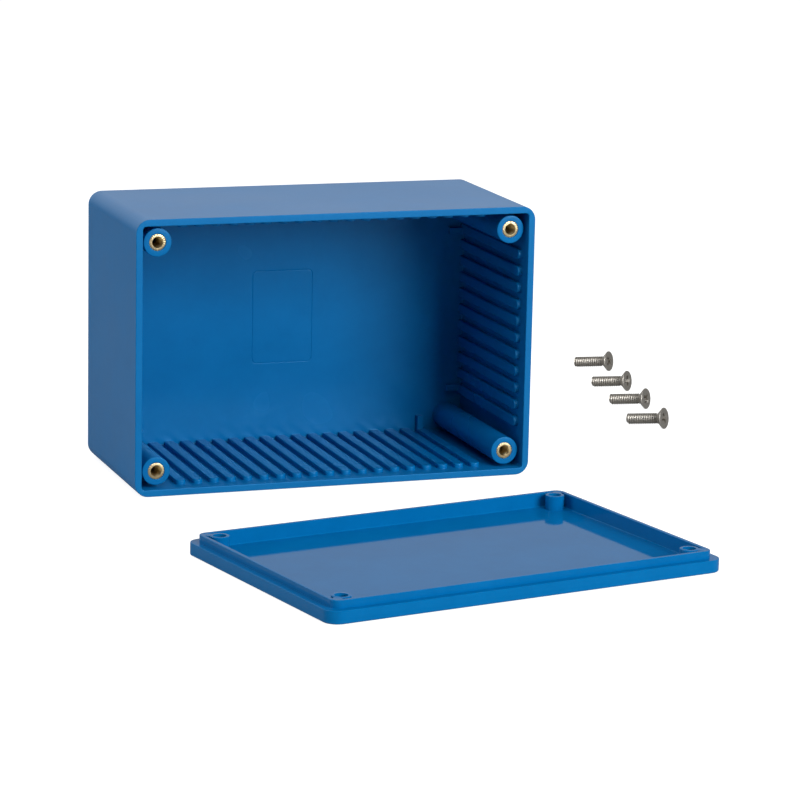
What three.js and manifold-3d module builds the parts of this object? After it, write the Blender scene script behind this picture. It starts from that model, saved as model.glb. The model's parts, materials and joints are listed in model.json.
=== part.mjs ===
// Moulded two-piece project enclosure of the kind that a direct injection box is built in, taken apart.
// The base shell stands on a long side wall with its mouth towards -Y. The lid lies in front of it, outer
// face down, and four countersunk screws lie beside it. Millimetres, +Z up. The origin is on the face that
// the shell stands on, at the middle of its length and depth.
//
// The shell, the lid and the screws are each drawn in a frame of their own, with W (local +Z) along the
// direction in which the case is deep, and are then turned and placed in the row's frame.

import * as THREE from 'three';
import { mergeVertices } from 'three/addons/utils/BufferGeometryUtils.js';
import Module from 'manifold-3d';

const wasm = await Module();
wasm.setup();

// ---- driving dimensions, mm ----

// case
const LENGTH = 120; // along X
const HEIGHT = 80; // the case's width, upright here
const BASE_DEPTH = 55.5; // mouth to outer back face
const WALL = 2.0;
const BACK_WALL = 2.2;
const CORNER_R = 4.0; // the four edges that run in the depth direction
const BACK_EDGE_R = 2.0; // rounding round the back face
const INNER_CORNER_R = 1.0;

// guide ribs on the inner walls
const RIB_PITCH = 5.0;
const RIB_W = 3.0;
const RIB_H = 1.3;
const RIB_SETBACK = 4.3; // mouth to the ribs' rounded front ends
const LONG_WALL_RIBS = 19;
const SHORT_WALL_RIBS = 11;
const STUB_W = 1.9; // short bars on the back wall at each wall's outermost ribs
const STUB_L = 4.0;
const STUB_H = 1.8;

// blank marking panel on the inner back wall, outlined by a fine groove
const PANEL_W = 19.0;
const PANEL_H = 28.4;
const PANEL_R = 1.6;
const GROOVE_W = 0.3;
const GROOVE_DEPTH = 0.25;

// screw positions, measured from the case's centre line
const HOLE_X = 53.15;
const HOLE_V = 33.05;
const BOSS_R = 4.1;
const BOSS_SETBACK = 2.3; // mouth to the bosses' end faces
const BOSS_HOLE_DEPTH = 13.0;

// threaded inserts
const FIT_GAP = 0.3; // between an insert and its hole
const INSERT_R = 2.45;
const INSERT_BORE_R = 1.45;
const INSERT_L = 8.0;
const INSERT_SETBACK = 0.1; // below the boss's end face

// lid
const FLANGE_T = 3.5;
const LIP_H = 2.1;
const LIP_INSET = 2.2; // flange edge to the lip's outer wall
const LIP_T = 1.2;
const LIP_CORNER_R = 2.5;
const TRAY_FLOOR_T = 1.5;
const POST_R = 2.65;
const POST_WEB_W = 2.4; // joins each post to the lip's corner
const LID_HOLE_R = 1.8;
const SINK_R = 3.55; // countersink at the lid's outer face

// countersunk machine screws, 12.7 long with 3.5 thread
const SCREW_L = 12.7;
const SCREW_R = 1.72;
const HEAD_R = 3.35;
const HEAD_EDGE = 0.25; // straight band at the head's rim
const HEAD_ANGLE = 45; // half of the 90 degree countersink
const TIP_CHAMFER = 0.5;
const RECESS_W = 0.9;
const RECESS_L = 3.3;
const RECESS_DEPTH = 1.4;

// layout of the loose pieces
const LID_AT = [3.6, -117.6];
const LID_YAW = 11.0;
const SCREW_YAW = -48; // direction from tip to head, from +X
const SCREWS_AT = [[137.1, 110.6], [130.5, 79.1], [125.6, 52.1], [119.6, 23.7]];

const SEGMENTS = 32;
const DEG = Math.PI / 180;
const SIGNS = [[-1, 1], [1, 1], [1, -1], [-1, -1]];

// ---- materials ----

const abs = (name) => new THREE.MeshStandardMaterial({ name, color: 0x0f66ab, roughness: 0.38, metalness: 0 });
const brass = (name) => new THREE.MeshStandardMaterial({ name, color: 0xb8975a, roughness: 0.35, metalness: 1 });
const steel = (name) => new THREE.MeshStandardMaterial({ name, color: 0x8d8b86, roughness: 0.35, metalness: 1 });

// ---- solids ----

// Signed volume of an indexed triangle list: negative when its faces point inwards.
function signedVolume(positions, triangles) {
  const a = new THREE.Vector3();
  const b = new THREE.Vector3();
  const c = new THREE.Vector3();
  let six = 0;
  for (let i = 0; i < triangles.length; i += 3) {
    a.fromArray(positions, triangles[i] * 3);
    b.fromArray(positions, triangles[i + 1] * 3);
    c.fromArray(positions, triangles[i + 2] * 3);
    six += a.dot(b.cross(c));
  }
  return six;
}

// A closed three.js geometry as a manifold solid, with its faces pointing outwards.
function solid(geometry) {
  const bare = geometry.clone();
  bare.deleteAttribute('normal');
  bare.deleteAttribute('uv');
  const merged = mergeVertices(bare, 1e-4);
  const positions = new Float32Array(merged.attributes.position.array);
  const kept = [];
  const index = merged.index.array;
  for (let i = 0; i < index.length; i += 3) {
    const [p, q, r] = [index[i], index[i + 1], index[i + 2]];
    if (p !== q && q !== r && r !== p) kept.push(p, q, r);
  }
  if (signedVolume(positions, kept) < 0) {
    for (let i = 0; i < kept.length; i += 3) {
      [kept[i], kept[i + 1]] = [kept[i + 1], kept[i]];
    }
  }
  const mesh = new wasm.Mesh({ numProp: 3, vertProperties: positions, triVerts: new Uint32Array(kept) });
  return new wasm.Manifold(mesh);
}

// A manifold solid as a three.js mesh.
function toMesh(name, body, material) {
  const { vertProperties, triVerts } = body.getMesh();
  const geometry = new THREE.BufferGeometry();
  geometry.setAttribute('position', new THREE.BufferAttribute(new Float32Array(vertProperties), 3));
  geometry.setIndex(new THREE.BufferAttribute(new Uint32Array(triVerts), 1));
  geometry.computeVertexNormals();
  const mesh = new THREE.Mesh(geometry, material);
  mesh.name = name;
  return mesh;
}

function joined(bodies) {
  return bodies.reduce((sum, body) => sum.add(body));
}

// Outline of a rectangle with rounded corners, centred on the origin.
function roundedRect(width, height, radius) {
  const x = width / 2 - radius;
  const y = height / 2 - radius;
  const shape = new THREE.Shape();
  shape.absarc(x, y, radius, 0, 90 * DEG);
  shape.absarc(-x, y, radius, 90 * DEG, 180 * DEG);
  shape.absarc(-x, -y, radius, 180 * DEG, 270 * DEG);
  shape.absarc(x, -y, radius, 270 * DEG, 360 * DEG);
  shape.closePath();
  return shape;
}

function extruded(shape, from, to, curveSegments = 6) {
  const geometry = new THREE.ExtrudeGeometry(shape, { depth: to - from, bevelEnabled: false, curveSegments });
  return geometry.translate(0, 0, from);
}

// Box from one corner to the other.
function boxBetween([x0, y0, z0], [x1, y1, z1]) {
  const geometry = new THREE.BoxGeometry(x1 - x0, y1 - y0, z1 - z0);
  return geometry.translate((x0 + x1) / 2, (y0 + y1) / 2, (z0 + z1) / 2);
}

// Round bar about an axis parallel to W through (x, v), from one W to another; the radii may differ.
function rod(x, v, from, to, radiusFrom, radiusTo = radiusFrom) {
  const geometry = new THREE.CylinderGeometry(radiusTo, radiusFrom, to - from, SEGMENTS);
  return geometry.rotateX(90 * DEG).translate(x, v, (from + to) / 2);
}

// Revolved solid about W from [radius, w] points.
function lathed(points) {
  const profile = points.map(([radius, w]) => new THREE.Vector2(radius, w));
  return new THREE.LatheGeometry(profile, SEGMENTS).rotateX(90 * DEG);
}

// ---- base shell: W = 0 at the outer back face, W = BASE_DEPTH at the mouth ----

function shellOuter() {
  const shape = roundedRect(LENGTH - 2 * BACK_EDGE_R, HEIGHT - 2 * BACK_EDGE_R, CORNER_R - BACK_EDGE_R);
  const geometry = new THREE.ExtrudeGeometry(shape, {
    depth: BASE_DEPTH,
    bevelThickness: BACK_EDGE_R,
    bevelSize: BACK_EDGE_R,
    bevelSegments: 4,
    curveSegments: 6,
  });
  const beyond = boxBetween([-LENGTH, -HEIGHT, BASE_DEPTH], [LENGTH, HEIGHT, 2 * BASE_DEPTH]);
  return solid(geometry.translate(0, 0, BACK_EDGE_R)).subtract(solid(beyond));
}

// One guide rib, rounded at its front end, standing on the wall whose inner face is at v = 0, with +V inwards.
function ribGeometry() {
  const front = BASE_DEPTH - RIB_SETBACK - RIB_W / 2;
  const shape = new THREE.Shape();
  shape.moveTo(-RIB_W / 2, BACK_WALL - 0.5);
  shape.lineTo(RIB_W / 2, BACK_WALL - 0.5);
  shape.absarc(0, front, RIB_W / 2, 0, 180 * DEG);
  shape.closePath();
  const geometry = extruded(shape, -0.5, RIB_H, 6);
  // shape X stays X, shape Y becomes W, and the extrusion becomes +V
  return geometry.applyMatrix4(new THREE.Matrix4().set(1, 0, 0, 0, 0, 0, 1, 0, 0, 1, 0, 0, 0, 0, 0, 1));
}

// Ribs and end stubs of one wall, drawn for a wall facing +V and then turned into place about W.
function wallRibs(count, distance, angle) {
  const bodies = [];
  const outermost = ((count - 1) / 2) * RIB_PITCH;
  for (let i = 0; i < count; i++) {
    bodies.push(solid(ribGeometry().translate(i * RIB_PITCH - outermost, -distance, 0)));
  }
  for (const side of [-1, 1]) {
    const inner = side * (outermost - RIB_W / 2);
    const outer = side * (outermost - RIB_W / 2 + STUB_W);
    const low = Math.min(inner, outer);
    const top = -distance + RIB_H + STUB_L;
    bodies.push(solid(boxBetween([low, -distance - 0.5, BACK_WALL - 0.5], [low + STUB_W, top, BACK_WALL + STUB_H])));
  }
  return joined(bodies).rotate([0, 0, angle]);
}

// Ring cut into the back wall round the blank panel.
function panelGroove() {
  const floor = BACK_WALL - GROOVE_DEPTH;
  const outer = extruded(roundedRect(PANEL_W, PANEL_H, PANEL_R), floor, BACK_WALL + 1, 4);
  const island = roundedRect(PANEL_W - 2 * GROOVE_W, PANEL_H - 2 * GROOVE_W, PANEL_R - GROOVE_W);
  return solid(outer).subtract(solid(extruded(island, floor - 1, BACK_WALL + 2, 4)));
}

function baseShell() {
  const cavity = extruded(
    roundedRect(LENGTH - 2 * WALL, HEIGHT - 2 * WALL, INNER_CORNER_R), BACK_WALL, BASE_DEPTH + 5, 3);
  let body = shellOuter().subtract(solid(cavity));
  body = body.add(wallRibs(LONG_WALL_RIBS, HEIGHT / 2 - WALL, 0));
  body = body.add(wallRibs(LONG_WALL_RIBS, HEIGHT / 2 - WALL, 180));
  body = body.add(wallRibs(SHORT_WALL_RIBS, LENGTH / 2 - WALL, 90));
  body = body.add(wallRibs(SHORT_WALL_RIBS, LENGTH / 2 - WALL, 270));
  const bossTop = BASE_DEPTH - BOSS_SETBACK;
  for (const [sx, sv] of SIGNS) {
    body = body.add(solid(rod(sx * HOLE_X, sv * HOLE_V, BACK_WALL - 0.5, bossTop, BOSS_R)));
  }
  for (const [sx, sv] of SIGNS) {
    const hole = rod(sx * HOLE_X, sv * HOLE_V, bossTop - BOSS_HOLE_DEPTH, bossTop + 1, INSERT_R + FIT_GAP);
    body = body.subtract(solid(hole));
  }
  return body.subtract(panelGroove());
}

// ---- threaded insert: W = 0 at its inner end ----

function threadedInsert() {
  const lead = 0.3;
  return solid(lathed([
    [INSERT_BORE_R, 0],
    [INSERT_R - lead, 0],
    [INSERT_R, lead],
    [INSERT_R, INSERT_L],
    [INSERT_BORE_R + lead, INSERT_L],
    [INSERT_BORE_R, INSERT_L - lead],
    [INSERT_BORE_R, 0],
  ]));
}

// ---- lid: W = 0 at its outer face ----

function cornerPost(sx, sv, top) {
  const x = sx * HOLE_X;
  const v = sv * HOLE_V;
  const reach = 4.6; // from the post's axis into the lip's corner
  const web = boxBetween([0, -POST_WEB_W / 2, TRAY_FLOOR_T - 0.3], [reach, POST_WEB_W / 2, top]);
  const placed = web.rotateZ(Math.atan2(sv, sx)).translate(x, v, 0);
  return solid(rod(x, v, TRAY_FLOOR_T - 0.3, top, POST_R)).add(solid(placed));
}

function lid() {
  const top = FLANGE_T + LIP_H;
  const lipL = LENGTH - 2 * LIP_INSET;
  const lipH = HEIGHT - 2 * LIP_INSET;
  const trayR = LIP_CORNER_R - LIP_T;
  const tray = extruded(roundedRect(lipL - 2 * LIP_T, lipH - 2 * LIP_T, trayR), TRAY_FLOOR_T, top + 1);
  let body = solid(extruded(roundedRect(LENGTH, HEIGHT, CORNER_R), 0, FLANGE_T));
  body = body.add(solid(extruded(roundedRect(lipL, lipH, LIP_CORNER_R), FLANGE_T - 0.5, top)));
  body = body.subtract(solid(tray));
  for (const [sx, sv] of SIGNS) {
    body = body.add(cornerPost(sx, sv, top));
  }
  const sinkDepth = (SINK_R - LID_HOLE_R) / Math.tan(HEAD_ANGLE * DEG);
  for (const [sx, sv] of SIGNS) {
    const hole = rod(sx * HOLE_X, sv * HOLE_V, -1, top + 1, LID_HOLE_R);
    const slope = (SINK_R - LID_HOLE_R) / sinkDepth;
    const sink = rod(sx * HOLE_X, sv * HOLE_V, -1, sinkDepth, SINK_R + slope, LID_HOLE_R);
    body = body.subtract(solid(hole)).subtract(solid(sink));
  }
  return body;
}

// ---- screw: W = 0 at the head's flat face, the shank towards +W ----

function screw() {
  const headH = HEAD_EDGE + (HEAD_R - SCREW_R) / Math.tan(HEAD_ANGLE * DEG);
  let body = solid(lathed([
    [0, 0],
    [HEAD_R, 0],
    [HEAD_R, HEAD_EDGE],
    [SCREW_R, headH],
    [SCREW_R, SCREW_L - TIP_CHAMFER],
    [SCREW_R - TIP_CHAMFER, SCREW_L],
    [0, SCREW_L],
  ]));
  for (const angle of [0, 90]) {
    const half = RECESS_L / 2;
    const slot = new THREE.Shape();
    slot.moveTo(-half, -1);
    slot.lineTo(half, -1);
    slot.lineTo(half, 0);
    slot.lineTo(RECESS_W / 2, RECESS_DEPTH);
    slot.lineTo(-RECESS_W / 2, RECESS_DEPTH);
    slot.lineTo(-half, 0);
    slot.closePath();
    const wing = extruded(slot, -RECESS_W / 2, RECESS_W / 2).rotateX(90 * DEG).rotateZ(angle * DEG);
    body = body.subtract(solid(wing));
  }
  return body;
}

// A screw lies on its head's rim and on the start of its tip chamfer, so its axis tips down towards the tip.
function lyingScrew(name, [x, y]) {
  const run = SCREW_L - TIP_CHAMFER - HEAD_EDGE;
  const tilt = Math.atan((HEAD_R - SCREW_R) / run);
  const mesh = toMesh(name, screw(), steel('stainless_steel'));
  mesh.position.set(0, 0, -HEAD_EDGE);
  const lying = new THREE.Group();
  lying.add(mesh);
  // local +W goes to -X and down by the tilt
  lying.rotation.y = -90 * DEG - tilt;
  lying.position.set((SCREW_L / 2) * Math.cos(tilt), 0, HEAD_R * Math.cos(tilt));
  const placed = new THREE.Group();
  placed.add(lying);
  placed.rotation.z = SCREW_YAW * DEG;
  placed.position.set(x, y, 0);
  return placed;
}

// ---- assembly ----

const row = new THREE.Group();

const base = new THREE.Group();
base.rotation.x = 90 * DEG;
base.position.set(0, BASE_DEPTH / 2, HEIGHT / 2);
base.add(toMesh('base_shell', baseShell(), abs('blue_abs')));
SIGNS.forEach(([sx, sv], i) => {
  const insert = toMesh(`insert_${i + 1}`, threadedInsert(), brass('brass'));
  insert.position.set(sx * HOLE_X, sv * HOLE_V, BASE_DEPTH - BOSS_SETBACK - INSERT_SETBACK - INSERT_L);
  base.add(insert);
});
row.add(base);

const lidMesh = toMesh('lid', lid(), abs('blue_abs'));
lidMesh.rotation.z = LID_YAW * DEG;
lidMesh.position.set(LID_AT[0], LID_AT[1], 0);
row.add(lidMesh);

SCREWS_AT.forEach((at, i) => row.add(lyingScrew(`screw_${i + 1}`, at)));

export default row;
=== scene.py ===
import json
from math import atan2, cos, pi, radians, sin, tan

import bmesh
import bpy
from mathutils import Matrix, Vector


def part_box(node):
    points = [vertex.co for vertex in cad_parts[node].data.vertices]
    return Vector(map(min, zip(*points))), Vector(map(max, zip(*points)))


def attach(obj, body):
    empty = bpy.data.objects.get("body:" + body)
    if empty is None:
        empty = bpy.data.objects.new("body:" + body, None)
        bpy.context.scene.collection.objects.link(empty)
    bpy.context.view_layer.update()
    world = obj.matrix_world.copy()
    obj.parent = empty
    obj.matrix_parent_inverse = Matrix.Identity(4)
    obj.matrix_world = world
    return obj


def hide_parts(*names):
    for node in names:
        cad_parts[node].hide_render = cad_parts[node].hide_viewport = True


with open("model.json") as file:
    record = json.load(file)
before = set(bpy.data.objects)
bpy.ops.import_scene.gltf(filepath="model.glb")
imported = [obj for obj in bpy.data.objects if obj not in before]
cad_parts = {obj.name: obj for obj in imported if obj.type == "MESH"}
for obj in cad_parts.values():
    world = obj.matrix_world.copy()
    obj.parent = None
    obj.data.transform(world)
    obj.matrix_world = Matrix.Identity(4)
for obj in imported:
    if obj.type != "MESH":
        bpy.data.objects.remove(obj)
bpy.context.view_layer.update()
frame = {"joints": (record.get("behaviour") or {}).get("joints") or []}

# Everything below is drawn in millimetres and scaled to metres when a mesh is made.
MM = 0.001

# ---- sizes, mm ----
LENGTH = 120.0
HEIGHT = 80.0
BASE_DEPTH = 55.5
WALL = 2.0
BACK_WALL = 2.2
CORNER_R = 4.0
BACK_EDGE_R = 2.0
INNER_CORNER_R = 1.0
RIM_EDGE_R = 0.22
BACK_FILLET_R = 0.5  # where the inner walls meet the back wall
RIB_PITCH = 5.0
RIB_W = 3.0
RIB_H = 1.3
RIB_EDGE_R = 0.35
RIB_SETBACK = 4.3
LONG_WALL_RIBS = 19
SHORT_WALL_RIBS = 11
STUB_W = 1.9
STUB_L = 4.0
STUB_H = 1.8
STUB_EDGE_R = 0.25
STUB_OFFSET = 0.01  # off the rib's side, so that no two faces lie in one plane
PANEL_W = 19.0
PANEL_H = 28.4
PANEL_R = 1.6
GROOVE_W = 0.25
GROOVE_DEPTH = 0.11
HOLE_X = 53.15
HOLE_V = 33.05
BOSS_R = 4.1
BOSS_EDGE_R = 0.25
BOSS_SETBACK = 2.3
BOSS_HOLE_DEPTH = 13.0
INSERT_R = 2.45
INSERT_BORE_R = 1.4
INSERT_L = 8.0
INSERT_SETBACK = 0.1
INSERT_MAJOR_R = 1.75
KNURL_TEETH = 20
THREAD_PITCH = 0.794
FLANGE_T = 3.5
LIP_H = 2.1
LIP_INSET = 2.2
LIP_T = 1.2
LIP_CORNER_R = 2.5
LID_OUTER_EDGE_R = 0.35
LID_EDGE_R = 0.2
TRAY_FILLET_R = 0.3
TRAY_FLOOR_T = 1.5
POST_R = 2.65
POST_ROOT = TRAY_FLOOR_T - 0.3  # posts and webs start inside the floor
POST_WEB_W = 2.4
POST_WEB_REACH = 4.6
POST_WEB_DROP = 0.05  # from a post's end down to its web
LID_HOLE_R = 1.8
SINK_R = 3.55
LID_YAW = 11.0
SCREW_L = 12.7
SCREW_R = 1.72
THREAD_DEPTH = 0.44
THREAD_END = 0.25  # the thread runs out over this length at the tip
HEAD_R = 3.35
HEAD_EDGE = 0.25
HEAD_ANGLE = 45.0
RECESS_DEPTH = 1.9
SIGNS = ((-1, 1), (1, 1), (1, -1), (-1, -1))  # the corners, in the order of the inserts' numbers
CORNER_STEPS = 10
OVERLAP = 0.5  # how far a joined part reaches into the wall it stands on
MIN_CORNER_R = 0.02  # keeps the points of a nearly sharp corner apart


# ---- mesh building ----


def mesh_object(name, verts, faces, smooth_angle=32.0):
    """A mesh object from points in millimetres, linked to the scene and smooth below an angle."""
    mesh = bpy.data.meshes.new(name)
    mesh.from_pydata([Vector(v) * MM for v in verts], [], faces)
    bm = bmesh.new()
    bm.from_mesh(mesh)
    bmesh.ops.remove_doubles(bm, verts=bm.verts, dist=1e-7)
    bmesh.ops.recalc_face_normals(bm, faces=bm.faces)
    bm.to_mesh(mesh)
    bm.free()
    obj = bpy.data.objects.new(name, mesh)
    bpy.context.scene.collection.objects.link(obj)
    shade(obj, smooth_angle)
    return obj


def shade(obj, smooth_angle=32.0):
    """Smooth faces, with every edge sharper than the angle marked sharp."""
    bm = bmesh.new()
    bm.from_mesh(obj.data)
    for face in bm.faces:
        face.smooth = True
    for edge in bm.edges:
        edge.smooth = len(edge.link_faces) == 2 and edge.calc_face_angle(0) < radians(smooth_angle)
    bm.to_mesh(obj.data)
    bm.free()


def clean(obj):
    """Merges the near-duplicate points that cuts leave behind."""
    bm = bmesh.new()
    bm.from_mesh(obj.data)
    bmesh.ops.remove_doubles(bm, verts=bm.verts, dist=2e-6)
    bmesh.ops.dissolve_degenerate(bm, edges=bm.edges, dist=1e-6)
    bm.to_mesh(obj.data)
    bm.free()


def weight_normals(obj):
    """Keeps large flat faces flat where small roundings meet them."""
    modifier = obj.modifiers.new("normals", "WEIGHTED_NORMAL")
    modifier.keep_sharp = True
    modifier.weight = 50


def place_in_row(obj, matrix):
    """Turns and moves a mesh by a matrix in millimetres."""
    obj.data.transform(Matrix.Scale(1 / MM, 4))
    obj.data.transform(matrix)
    obj.data.transform(Matrix.Scale(MM, 4))


def rounded_loop(width, height, radius, w):
    """Points of a rounded rectangle at depth w, always the same number and order."""
    radius = max(radius, MIN_CORNER_R)
    points = []
    for quarter, (sx, sy) in enumerate(((1, 1), (-1, 1), (-1, -1), (1, -1))):
        cx = sx * (width / 2 - radius)
        cy = sy * (height / 2 - radius)
        for i in range(CORNER_STEPS + 1):
            a = (quarter + i / CORNER_STEPS) * pi / 2
            points.append((cx + radius * cos(a), cy + radius * sin(a), w))
    return points


def loft(loops, closed=False):
    """Quads between loops of equal length, capped at both ends unless the loft closes on itself."""
    n = len(loops[0])
    verts = [p for loop in loops for p in loop]
    faces = []
    rows = len(loops) if closed else len(loops) - 1
    for r in range(rows):
        a = r * n
        b = ((r + 1) % len(loops)) * n
        for i in range(n):
            j = (i + 1) % n
            faces.append((a + i, a + j, b + j, b + i))
    if not closed:
        faces.append(tuple(range(n))[::-1])
        faces.append(tuple(range((len(loops) - 1) * n, len(loops) * n)))
    return verts, faces


def placed(part, matrix):
    verts, faces = part
    return [tuple(matrix @ Vector(v)) for v in verts], faces


def merged(parts):
    verts = []
    faces = []
    for part_verts, part_faces in parts:
        start = len(verts)
        verts.extend(part_verts)
        faces.extend(tuple(i + start for i in face) for face in part_faces)
    return verts, faces


def rounding(radius, steps=3):
    """(inset, rise) pairs of a quarter round, from the side wall up to the top face."""
    out = []
    for i in range(steps + 1):
        a = i / steps * pi / 2
        out.append((radius * (1 - cos(a)), radius * sin(a)))
    return out


def revolve(profile, x=0.0, v=0.0, segments=64):
    """Closed solid about an axis along W, from (radius, w) points that start and end on it."""
    verts = []
    faces = []
    rings = []
    for radius, w in profile:
        if radius < 1e-6:
            rings.append([len(verts)])
            verts.append((x, v, w))
        else:
            start = len(verts)
            for i in range(segments):
                a = 2 * pi * i / segments
                verts.append((x + radius * cos(a), v + radius * sin(a), w))
            rings.append(list(range(start, start + segments)))
    for low, high in zip(rings, rings[1:]):
        for i in range(segments):
            j = (i + 1) % segments
            quad = [low[i % len(low)], low[j % len(low)], high[j % len(high)], high[i % len(high)]]
            face = []
            for index in quad:
                if index not in face:
                    face.append(index)
            faces.append(tuple(face))
    return verts, faces


def boolean(obj, part, operation):
    """Joins a part to an object or cuts it away, and applies the result."""
    tool = mesh_object("tool", *part)
    modifier = obj.modifiers.new("cut", "BOOLEAN")
    modifier.operation = operation
    modifier.solver = "EXACT"
    modifier.object = tool
    bpy.context.view_layer.update()
    evaluated = obj.evaluated_get(bpy.context.evaluated_depsgraph_get())
    result = bpy.data.meshes.new_from_object(evaluated)
    obj.modifiers.clear()
    old = obj.data
    obj.data = result
    bpy.data.meshes.remove(old)
    tool_mesh = tool.data
    bpy.data.objects.remove(tool)
    bpy.data.meshes.remove(tool_mesh)


# ---- base shell: X along it, V across it, W from the outer back face to the mouth ----

CASE_TO_ROW = Matrix.Translation((0, BASE_DEPTH / 2, HEIGHT / 2)) @ Matrix.Rotation(pi / 2, 4, "X")


def panel_loop(outset, w):
    return rounded_loop(PANEL_W + 2 * outset, PANEL_H + 2 * outset, PANEL_R + outset, w)


def shell_body():
    def ring(inset, w, radius):
        return rounded_loop(LENGTH - 2 * inset, HEIGHT - 2 * inset, radius, w)

    loops = []
    for inset, rise in reversed(rounding(BACK_EDGE_R, 8)):
        loops.append(ring(inset, BACK_EDGE_R - rise, CORNER_R - inset))
    for inset, rise in rounding(RIM_EDGE_R):
        loops.append(ring(inset, BASE_DEPTH - RIM_EDGE_R + rise, CORNER_R - inset))
    for inset, rise in reversed(rounding(RIM_EDGE_R)):
        loops.append(ring(WALL - inset, BASE_DEPTH - RIM_EDGE_R + rise, INNER_CORNER_R + inset))
    for inset, rise in rounding(BACK_FILLET_R):
        loops.append(ring(WALL + inset, BACK_WALL + BACK_FILLET_R - rise, INNER_CORNER_R))
    # fine groove with softened edges round the blank panel, as (outset, depth) across it
    groove = ((0.30, 0), (0.04, 0), (-0.02, 0.02), (-GROOVE_W / 2, GROOVE_DEPTH))
    groove += ((0.02 - GROOVE_W, 0.02), (-0.04 - GROOVE_W, 0), (-0.40 - GROOVE_W, 0))
    for outset, depth in groove:
        loops.append(panel_loop(outset, BACK_WALL - depth))
    return loft(loops)


def bar(length, width, height, edge, round_end):
    """A bar along +Y on the plane Z = 0, with a rounded top edge and a round or square far end."""
    levels = [(0.0, -OVERLAP)] + [(inset, height - edge + rise) for inset, rise in rounding(edge)]
    loops = []
    for inset, z in levels:
        half = width / 2 - inset
        loop = [(half, -OVERLAP, z)]
        if round_end:
            for k in range(13):
                a = k / 12 * pi
                loop.append((half * cos(a), length - width / 2 + half * sin(a), z))
        else:
            loop += [(half, length - inset, z), (-half, length - inset, z)]
        loop.append((-half, -OVERLAP, z))
        loops.append(loop)
    return loft(loops)


def wall_frame(distance, angle):
    """Frame on a side wall's inner face: X along it, Y from the back wall to the mouth, Z inwards."""
    local = Matrix(((1, 0, 0, 0), (0, 0, 1, -distance), (0, 1, 0, BACK_WALL), (0, 0, 0, 1)))
    return Matrix.Rotation(radians(angle), 4, "Z") @ local


def back_frame(distance, angle):
    """Frame on the back wall: X along a side wall, Y away from its inner face, Z to the mouth."""
    local = Matrix(((1, 0, 0, 0), (0, 1, 0, -distance), (0, 0, 1, BACK_WALL), (0, 0, 0, 1)))
    return Matrix.Rotation(radians(angle), 4, "Z") @ local


WALLS = (
    (LONG_WALL_RIBS, HEIGHT / 2 - WALL, 0),
    (LONG_WALL_RIBS, HEIGHT / 2 - WALL, 180),
    (SHORT_WALL_RIBS, LENGTH / 2 - WALL, 90),
    (SHORT_WALL_RIBS, LENGTH / 2 - WALL, 270),
)


def ribs():
    parts = []
    length = BASE_DEPTH - RIB_SETBACK - BACK_WALL
    for count, distance, angle in WALLS:
        wall = wall_frame(distance, angle)
        for i in range(count):
            x = (i - (count - 1) / 2) * RIB_PITCH
            rib = bar(length, RIB_W, RIB_H, RIB_EDGE_R, True)
            parts.append(placed(rib, wall @ Matrix.Translation((x, 0, 0))))
    return merged(parts)


def stubs():
    parts = []
    for count, distance, angle in WALLS:
        wall = back_frame(distance, angle)
        outermost = (count - 1) / 2 * RIB_PITCH
        for side in (-1, 1):
            x = side * (outermost - RIB_W / 2 + STUB_W / 2 + STUB_OFFSET)
            stub = bar(RIB_H + STUB_L, STUB_W, STUB_H, STUB_EDGE_R, False)
            parts.append(placed(stub, wall @ Matrix.Translation((x, 0, 0))))
    return merged(parts)


def bosses():
    parts = []
    top = BASE_DEPTH - BOSS_SETBACK
    hole = INSERT_R - 0.02  # the insert's knurl bites into it
    lead = 0.15
    profile = [(0, BACK_WALL - OVERLAP), (BOSS_R, BACK_WALL - OVERLAP)]
    profile += [(BOSS_R - inset, top - BOSS_EDGE_R + rise) for inset, rise in rounding(BOSS_EDGE_R)]
    profile += [(hole + lead, top), (hole, top - lead)]
    profile += [(hole, top - BOSS_HOLE_DEPTH), (0, top - BOSS_HOLE_DEPTH)]
    for sx, sv in SIGNS:
        parts.append(revolve(profile, sx * HOLE_X, sv * HOLE_V, 96))
    return merged(parts)


def build_shell():
    obj = mesh_object("moulded_shell", *shell_body())
    for part in (ribs(), stubs(), bosses()):
        boolean(obj, part, "UNION")
    place_in_row(obj, CASE_TO_ROW)
    clean(obj)
    shade(obj)
    weight_normals(obj)
    return obj


# ---- lid: X along it, V across it, W from the outer face to the posts' ends ----


def lid_body():
    def ring(inset, w, radius):
        return rounded_loop(LENGTH - 2 * inset, HEIGHT - 2 * inset, radius, w)

    top = FLANGE_T + LIP_H
    loops = []
    for inset, rise in reversed(rounding(LID_OUTER_EDGE_R, 4)):
        loops.append(ring(inset, LID_OUTER_EDGE_R - rise, CORNER_R - inset))
    for inset, rise in rounding(LID_EDGE_R):
        loops.append(ring(inset, FLANGE_T - LID_EDGE_R + rise, CORNER_R - inset))
    loops.append(ring(LIP_INSET, FLANGE_T, LIP_CORNER_R))
    for inset, rise in rounding(LID_EDGE_R):
        loops.append(ring(LIP_INSET + inset, top - LID_EDGE_R + rise, LIP_CORNER_R - inset))
    inner = LIP_INSET + LIP_T
    inner_r = LIP_CORNER_R - LIP_T
    for inset, rise in reversed(rounding(LID_EDGE_R)):
        loops.append(ring(inner - inset, top - LID_EDGE_R + rise, inner_r + inset))
    for inset, rise in rounding(TRAY_FILLET_R):
        loops.append(ring(inner + inset, TRAY_FLOOR_T + TRAY_FILLET_R - rise, inner_r))
    return loft(loops)


def lid_posts():
    top = FLANGE_T + LIP_H
    profile = [(0, POST_ROOT), (POST_R, POST_ROOT)]
    profile += [(POST_R - inset, top - LID_EDGE_R + rise) for inset, rise in rounding(LID_EDGE_R)]
    profile += [(0, top)]
    return merged([revolve(profile, sx * HOLE_X, sv * HOLE_V) for sx, sv in SIGNS])


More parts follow.
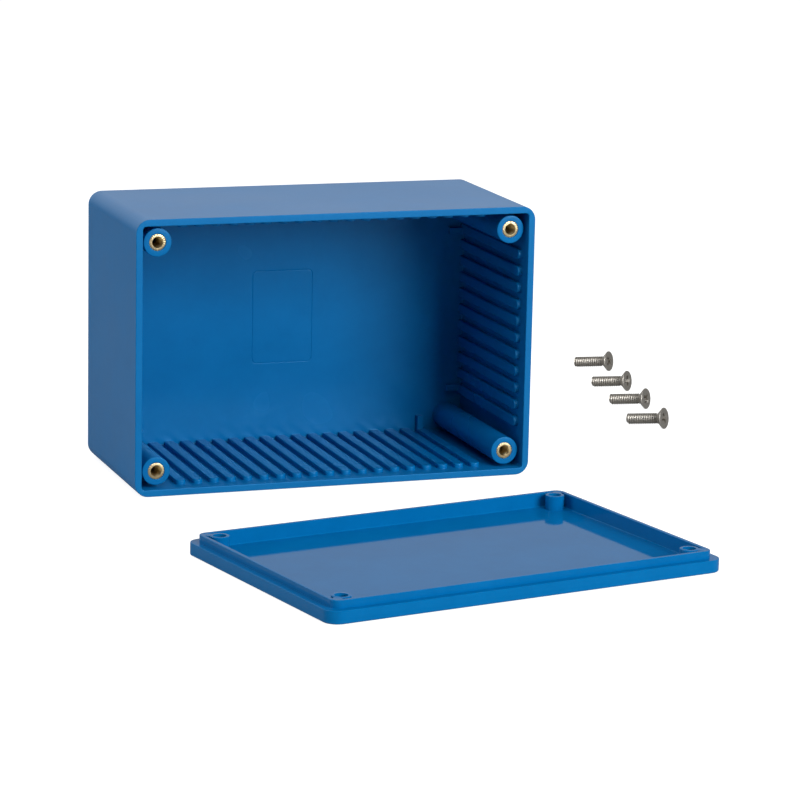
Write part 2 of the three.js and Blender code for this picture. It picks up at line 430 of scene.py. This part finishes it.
def lid_webs():
    """Short walls that join each post to its corner of the lip."""
    parts = []
    top = FLANGE_T + LIP_H - POST_WEB_DROP
    half = POST_WEB_W / 2
    outline = ((0, -half), (POST_WEB_REACH, -half), (POST_WEB_REACH, half), (0, half))
    web = loft([[(x, y, w) for x, y in outline] for w in (POST_ROOT, top)])
    for sx, sv in SIGNS:
        place = Matrix.Translation((sx * HOLE_X, sv * HOLE_V, 0))
        parts.append(placed(web, place @ Matrix.Rotation(atan2(sv, sx), 4, "Z")))
    return merged(parts)


def lid_holes():
    """Countersunk from the outer face, cut from 1 mm outside it to 1 mm above the posts."""
    top = FLANGE_T + LIP_H
    slope = tan(radians(HEAD_ANGLE))
    sink = (SINK_R - LID_HOLE_R) / slope
    chamfer = 0.06
    profile = [(0, -1), (SINK_R + slope, -1), (LID_HOLE_R, sink), (LID_HOLE_R, top - chamfer)]
    profile += [(LID_HOLE_R + chamfer + 1, top + 1), (0, top + 1)]
    return merged([revolve(profile, sx * HOLE_X, sv * HOLE_V) for sx, sv in SIGNS])


def build_lid():
    obj = mesh_object("moulded_lid", *lid_body())
    boolean(obj, lid_posts(), "UNION")
    boolean(obj, lid_webs(), "UNION")
    boolean(obj, lid_holes(), "DIFFERENCE")
    low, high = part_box("lid")
    middle = (low + high) / 2
    place = Matrix.Translation((middle.x, middle.y, 0)) @ Matrix.Rotation(radians(LID_YAW), 4, "Z")
    obj.data.transform(place)
    clean(obj)
    shade(obj)
    weight_normals(obj)
    return obj


# ---- threaded inserts and screws ----


def triangle_wave(t):
    """0 at whole numbers, 1 half-way between."""
    t = t % 1.0
    return 2 * t if t < 0.5 else 2 - 2 * t


def thread_rings(root_r, crest_r, start, end, segments, samples, fade):
    """Rings of a helical thread between two depths, growing from the root over the fade length."""
    flat_crest = 1.15
    rings = []
    steps = max(2, int((end - start) / THREAD_PITCH * samples))
    for k in range(steps + 1):
        w = start + (end - start) * k / steps
        ring = []
        for i in range(segments):
            a = 2 * pi * i / segments
            lift = min(1.0, triangle_wave(w / THREAD_PITCH + i / segments) * flat_crest)
            lift *= min(1.0, (w - start) / fade)
            r = root_r + (crest_r - root_r) * lift
            ring.append((r * cos(a), r * sin(a), w))
        rings.append(ring)
    return rings


def circle(radius, w, segments):
    angles = [2 * pi * i / segments for i in range(segments)]
    return [(radius * cos(a), radius * sin(a), w) for a in angles]


def insert_part():
    """Knurled brass bush with a tapped bore; W = 0 at its inner end."""
    segments = 96
    groove, top_groove = 0.16, 0.38
    lead = 0.3
    thread_start, thread_end = 0.35, INSERT_L - 0.30

    def knurled(radius, depth, w):
        ring = []
        for i in range(segments):
            a = 2 * pi * i / segments
            r = radius - depth * (1 - triangle_wave(i * KNURL_TEETH / segments + 0.5))
            ring.append((r * cos(a), r * sin(a), w))
        return ring

    loops = [circle(1.6, 0, segments), circle(INSERT_R - lead, 0, segments)]
    loops += [knurled(INSERT_R, groove, lead), knurled(INSERT_R, groove, INSERT_L - 0.06)]
    loops += [knurled(INSERT_R - 0.03, top_groove, INSERT_L)]
    loops += [circle(INSERT_BORE_R + 0.22, INSERT_L, segments)]
    loops += [circle(INSERT_BORE_R + 0.06, INSERT_L - 0.18, segments)]
    bore = thread_rings(
        INSERT_MAJOR_R, INSERT_BORE_R, thread_start, thread_end, segments, samples=8, fade=0.3
    )
    loops += list(reversed(bore))
    return loft(loops, closed=True)


def build_insert(number, sx, sv):
    obj = mesh_object(f"brass_insert_{number}", *insert_part(), smooth_angle=40)
    w = BASE_DEPTH - BOSS_SETBACK - INSERT_SETBACK - INSERT_L
    place_in_row(obj, CASE_TO_ROW @ Matrix.Translation((sx * HOLE_X, sv * HOLE_V, w)))
    return obj


def screw_part():
    """Countersunk machine screw without its recess; W = 0 at the head's face."""
    segments = 48
    root = SCREW_R - THREAD_DEPTH
    cone_end = HEAD_EDGE + (HEAD_R - root) / tan(radians(HEAD_ANGLE))
    bevel = 0.08
    loops = [circle(0.8, 0, segments), circle(HEAD_R - bevel, 0, segments)]
    loops += [circle(HEAD_R, bevel, segments), circle(HEAD_R, HEAD_EDGE, segments)]
    loops += thread_rings(
        root, SCREW_R, cone_end, SCREW_L - THREAD_END, segments, samples=10, fade=0.25
    )
    loops += [circle(root * 0.98, SCREW_L, segments)]
    return loft(loops)


def recess_parts():
    """The two tapered wings of the cross that is cut into the head."""
    parts = []
    # half length, half width and depth, from outside the head down to the recess's floor
    sections = ((1.92, 0.58, -0.4), (1.75, 0.52, 0.0), (0.60, 0.34, RECESS_DEPTH))
    for turn in (0, pi / 2):
        loops = []
        for x, y, w in sections:
            loops.append([(x, -y, w), (x, y, w), (-x, y, w), (-x, -y, w)])
        parts.append(placed(loft(loops), Matrix.Rotation(turn, 4, "Z")))
    return parts


def build_screw(joint):
    smooth_angle = 38
    number = joint["name"].split("_")[1]
    obj = mesh_object(f"countersunk_screw_{number}", *screw_part(), smooth_angle)
    for part in recess_parts():
        boolean(obj, part, "DIFFERENCE")
    # the joint's axis runs from the tip out through the head, and its point lies at depth HEAD_EDGE
    axis = Vector(joint["axis"]).normalized()
    turn = (-axis).to_track_quat("Z", "Y").to_matrix().to_4x4()
    place = Matrix.Translation(Vector(joint["pos_m"]) + axis * HEAD_EDGE * MM)
    # each screw's cross and thread lie at their own angle
    spin = Matrix.Rotation(radians(20 + 37 * int(number)), 4, "Z")
    obj.data.transform(place @ turn @ spin)
    clean(obj)
    shade(obj, smooth_angle)
    return obj


# ---- materials ----


def new_material(name):
    material = bpy.data.materials.new(name)
    material.use_nodes = True
    nodes = material.node_tree.nodes
    return material, nodes, material.node_tree.links, nodes["Principled BSDF"]


def box_mask(nodes, links, coords, low, high, soft=0.0004):
    """1 inside a box in metres in object coordinates, 0 outside it; None leaves a side open."""
    split = nodes.new("ShaderNodeSeparateXYZ")
    links.new(coords.outputs["Object"], split.inputs["Vector"])
    product = None
    for axis in range(3):
        for limit, sign in ((low[axis], 1), (high[axis], -1)):
            if limit is None:
                continue
            edge = nodes.new("ShaderNodeMapRange")
            edge.inputs["From Min"].default_value = limit - sign * soft / 2
            edge.inputs["From Max"].default_value = limit + sign * soft / 2
            links.new(split.outputs[axis], edge.inputs["Value"])
            if product is None:
                product = edge.outputs["Result"]
            else:
                multiply = nodes.new("ShaderNodeMath")
                multiply.operation = "MULTIPLY"
                links.new(product, multiply.inputs[0])
                links.new(edge.outputs["Result"], multiply.inputs[1])
                product = multiply.outputs["Value"]
    return product


def noise_node(nodes, links, coords, scale, detail=3.0, roughness=0.5):
    noise = nodes.new("ShaderNodeTexNoise")
    noise.inputs["Scale"].default_value = scale
    noise.inputs["Detail"].default_value = detail
    noise.inputs["Roughness"].default_value = roughness
    links.new(coords.outputs["Object"], noise.inputs["Vector"])
    return noise


def add_bump(nodes, links, shader, height, distance):
    """Relief from a noise; its strength is set or linked on the node that this returns."""
    bump = nodes.new("ShaderNodeBump")
    bump.inputs["Distance"].default_value = distance
    links.new(height.outputs["Fac"], bump.inputs["Height"])
    links.new(bump.outputs["Normal"], shader.inputs["Normal"])
    return bump


def mix_float(nodes, links, factor, low, high):
    """A value between two others, each a number or a socket."""
    mix = nodes.new("ShaderNodeMapRange")
    links.new(factor, mix.inputs["Value"])
    for name, value in (("To Min", low), ("To Max", high)):
        if isinstance(value, (int, float)):
            mix.inputs[name].default_value = value
        else:
            links.new(value, mix.inputs[name])
    return mix.outputs["Result"]


def abs_material(name, low, high, rough_inside, rough_outside, specular):
    """Moulded blue ABS: polished inside the given box, lightly textured outside it."""
    material, nodes, links, shader = new_material(name)
    coords = nodes.new("ShaderNodeTexCoord")
    inside = box_mask(nodes, links, coords, low, high)
    cloud = noise_node(nodes, links, coords, 70.0, 8.0, 0.74)
    ramp = nodes.new("ShaderNodeValToRGB")
    ramp.color_ramp.elements[0].position = 0.32
    ramp.color_ramp.elements[0].color = (0.0005, 0.134, 0.370, 1)
    ramp.color_ramp.elements[1].position = 0.68
    ramp.color_ramp.elements[1].color = (0.0009, 0.152, 0.412, 1)
    links.new(cloud.outputs["Fac"], ramp.inputs["Fac"])
    links.new(ramp.outputs["Color"], shader.inputs["Base Color"])
    smear = noise_node(nodes, links, coords, 35.0, 2.0)
    wear = smear.outputs["Fac"]
    polished = mix_float(nodes, links, wear, rough_inside * 0.85, rough_inside * 1.15)
    textured = mix_float(nodes, links, wear, rough_outside - 0.04, rough_outside + 0.04)
    links.new(mix_float(nodes, links, inside, textured, polished), shader.inputs["Roughness"])
    shader.inputs["Specular IOR Level"].default_value = specular
    shader.inputs["Specular Tint"].default_value = (0.28, 0.62, 1.0, 1)
    grain = noise_node(nodes, links, coords, 2200.0, 2.0)
    bump = add_bump(nodes, links, shader, grain, 0.00006)
    links.new(mix_float(nodes, links, inside, 0.30, 0.06), bump.inputs["Strength"])
    return material


def metal_material(name, color, roughness, grain_scale, grain_strength, grain_depth):
    """Bare machined metal with a fine grain."""
    material, nodes, links, shader = new_material(name)
    shader.inputs["Base Color"].default_value = color
    shader.inputs["Metallic"].default_value = 1.0
    shader.inputs["Roughness"].default_value = roughness
    grain = noise_node(nodes, links, nodes.new("ShaderNodeTexCoord"), grain_scale)
    bump = add_bump(nodes, links, shader, grain, grain_depth)
    bump.inputs["Strength"].default_value = grain_strength
    return material


def finish_piece(obj, material, slot, body, *nodes):
    obj.data.materials.clear()
    obj.data.materials.append(material)
    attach(obj, body)
    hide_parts(*nodes)


# ---- camera, floor and light ----


def add_camera():
    """Long lens, left of the case and a little above it."""
    place = (-0.31582, -0.97046, 0.24121)
    # radians; yaw from +Y towards +X, pitch downwards
    yaw, pitch, roll = 0.34161, 0.21334, 0.02165
    data = bpy.data.cameras.new("camera")
    data.sensor_width = 36.0
    data.lens = 158.697
    data.clip_end = 20.0
    camera = bpy.data.objects.new("camera", data)
    bpy.context.scene.collection.objects.link(camera)
    forward = Vector((sin(yaw) * cos(pitch), cos(yaw) * cos(pitch), -sin(pitch)))
    right = Vector((cos(yaw), -sin(yaw), 0))
    up = right.cross(forward)
    right, up = right * cos(roll) + up * sin(roll), up * cos(roll) - right * sin(roll)
    camera.matrix_world = Matrix.Translation(place) @ Matrix(
        (
            (right.x, up.x, -forward.x, 0),
            (right.y, up.y, -forward.y, 0),
            (right.z, up.z, -forward.z, 0),
            (0, 0, 0, 1),
        )
    )
    bpy.context.scene.camera = camera


def add_area(name, place, target, size, energy):
    """A soft box that the camera doesn't see."""
    data = bpy.data.lights.new(name, "AREA")
    data.shape = "RECTANGLE"
    data.size, data.size_y = size
    data.energy = energy
    light = bpy.data.objects.new(name, data)
    bpy.context.scene.collection.objects.link(light)
    light.location = place
    light.rotation_euler = (Vector(target) - Vector(place)).to_track_quat("-Z", "Y").to_euler()
    light.visible_camera = False
    return light


def link_light(light, objects, state):
    """Lets a light reach only the given objects, INCLUDE, or everything but them, EXCLUDE."""
    receivers = bpy.data.collections.new(light.name + "_receivers")
    for obj in objects:
        receivers.objects.link(obj)
    for entry in receivers.collection_objects:
        entry.light_linking.link_state = state
    light.light_linking.receiver_collection = receivers


def add_studio_light(name, azimuth, elevation, distance, size, level):
    """A soft box aimed at the case, azimuth in degrees to the right of the mouth's own direction.

    Level is the light on a surface that faces it at the case, where 1 is what a white sky gives.
    """
    a, e = radians(azimuth), radians(elevation)
    middle = Vector((0, 0, HEIGHT / 2 * MM))
    toward = Vector((sin(a) * cos(e), -cos(a) * cos(e), sin(e)))
    return add_area(name, middle + toward * distance, middle, size, level * pi**2 * distance**2)


def add_floor():
    """Plain grey floor; the camera itself sees white."""
    half = 6.0
    mesh = bpy.data.meshes.new("floor")
    corners = [(-half, -half, 0), (half, -half, 0), (half, half, 0), (-half, half, 0)]
    mesh.from_pydata(corners, [], [(0, 1, 2, 3)])
    floor = bpy.data.objects.new("floor", mesh)
    bpy.context.scene.collection.objects.link(floor)
    floor.location.z = -0.0002  # a hair below what stands on it
    material, nodes, links, shader = new_material("floor")
    shader.inputs["Base Color"].default_value = (0.48, 0.48, 0.48, 1)
    shader.inputs["Roughness"].default_value = 1.0
    shader.inputs["Specular IOR Level"].default_value = 0.0
    shader.inputs["Emission Color"].default_value = (1, 1, 1, 1)
    path = nodes.new("ShaderNodeLightPath")
    glow = mix_float(nodes, links, path.outputs["Is Camera Ray"], 0.0, 0.88)
    links.new(glow, shader.inputs["Emission Strength"])
    floor.data.materials.append(material)


def add_world():
    """A dark studio with a bright wall behind the case; the camera itself sees white."""
    world = bpy.data.worlds.new("studio")
    bpy.context.scene.world = world
    world.use_nodes = True
    nodes, links = world.node_tree.nodes, world.node_tree.links
    coords = nodes.new("ShaderNodeTexCoord")
    split = nodes.new("ShaderNodeSeparateXYZ")
    links.new(coords.outputs["Generated"], split.inputs["Vector"])
    behind = nodes.new("ShaderNodeMapRange")
    behind.interpolation_type = "SMOOTHSTEP"
    behind.inputs["From Min"].default_value = 0.1
    behind.inputs["From Max"].default_value = 0.75
    links.new(split.outputs["Y"], behind.inputs["Value"])
    behind.inputs["To Min"].default_value = 0.08
    behind.inputs["To Max"].default_value = 0.50
    path = nodes.new("ShaderNodeLightPath")
    seen = mix_float(nodes, links, path.outputs["Is Camera Ray"], behind.outputs["Result"], 1.0)
    background = nodes["Background"]
    background.inputs["Color"].default_value = (1.0, 1.0, 1.0, 1)
    links.new(seen, background.inputs["Strength"])


def add_card():
    """A white card between the mouth and the lid that shows only in reflections.

    It faces the lid, gives its tray an even sheen, and is clear from the shell's side.
    """
    left, right, low, high = -0.20, 0.20, 0.001, 0.063
    mesh = bpy.data.meshes.new("reflection_card")
    corners = [(left, 0, low), (right, 0, low), (right, 0, high), (left, 0, high)]
    mesh.from_pydata(corners, [], [(0, 1, 2, 3)])
    card = bpy.data.objects.new("reflection_card", mesh)
    bpy.context.scene.collection.objects.link(card)
    card.location.y = -0.030
    card.visible_camera = False
    card.visible_diffuse = False
    card.visible_shadow = False
    material, nodes, links, _ = new_material("reflection_card")
    glow = nodes.new("ShaderNodeEmission")
    glow.inputs["Strength"].default_value = 0.50
    clear = nodes.new("ShaderNodeBsdfTransparent")
    side = nodes.new("ShaderNodeNewGeometry")
    mix = nodes.new("ShaderNodeMixShader")
    links.new(side.outputs["Backfacing"], mix.inputs["Fac"])
    links.new(glow.outputs["Emission"], mix.inputs[1])
    links.new(clear.outputs["BSDF"], mix.inputs[2])
    links.new(mix.outputs["Shader"], nodes["Material Output"].inputs["Surface"])
    mesh.materials.append(material)


def add_stage():
    add_floor()
    add_world()
    add_studio_light("top", -18, 60, 1.5, (0.9, 0.9), 0.30)
    add_studio_light("left", -96, 14, 1.6, (0.8, 0.8), 0.33)
    add_card()
    # a soft box behind the case that shows as sheen on the shell's top
    radiance, width, height = 0.55, 0.9, 0.42
    energy = radiance * pi * width * height
    add_area("rear", (0.08, 0.25, 0.34), (0.08, 0.0, 0.34), (width, height), energy)
    bpy.context.scene.view_settings.view_transform = "Standard"
    bpy.context.scene.view_settings.look = "None"


def add_key(polished):
    """The key light. Polished pieces don't reflect it, as from behind it would be a white patch."""
    lights = (("key", "EXCLUDE", True), ("key_without_shine", "INCLUDE", False))
    for name, state, shines in lights:
        key = add_studio_light(name, 24, 20, 1.5, (0.78, 0.76), 0.90)
        link_light(key, polished, state)
        key.visible_glossy = shines


# ---- the scene ----

add_camera()
add_stage()
# the shell is polished in this box: the ribs, the bosses and the inner back wall
inner_x, inner_z = (LENGTH / 2 - WALL - 0.15) * MM, (HEIGHT / 2 - WALL - 0.15) * MM
shell_blue = abs_material(
    "blue_abs_shell",
    low=(-inner_x, (-BASE_DEPTH / 2 + 0.4) * MM, HEIGHT / 2 * MM - inner_z),
    high=(inner_x, (BASE_DEPTH / 2 - BACK_WALL + 0.6) * MM, HEIGHT / 2 * MM + inner_z),
    rough_inside=0.26,
    rough_outside=0.40,
    specular=0.5,
)
lid_blue = abs_material(
    "blue_abs_lid",
    low=(None, None, 0.0006),
    high=(None, None, None),
    rough_inside=0.06,
    rough_outside=0.40,
    specular=0.2,
)
brass = metal_material("brass", (0.60, 0.48, 0.27, 1), 0.34, 2500.0, 0.35, 0.0002)
steel = metal_material("stainless_steel", (0.44, 0.415, 0.375, 1), 0.44, 2600.0, 0.25, 0.0001)

finish_piece(build_shell(), shell_blue, "blue_abs", "shell", "base_shell")
lid = build_lid()
finish_piece(lid, lid_blue, "blue_abs", "lid", "lid")
add_key([lid])
for index, (sx, sv) in enumerate(SIGNS, 1):
    finish_piece(build_insert(index, sx, sv), brass, "brass", "shell", f"insert_{index}")
for joint in frame["joints"]:
    if joint["name"].startswith("screw_"):
        finish_piece(build_screw(joint), steel, "stainless_steel", joint["child"], joint["child"])
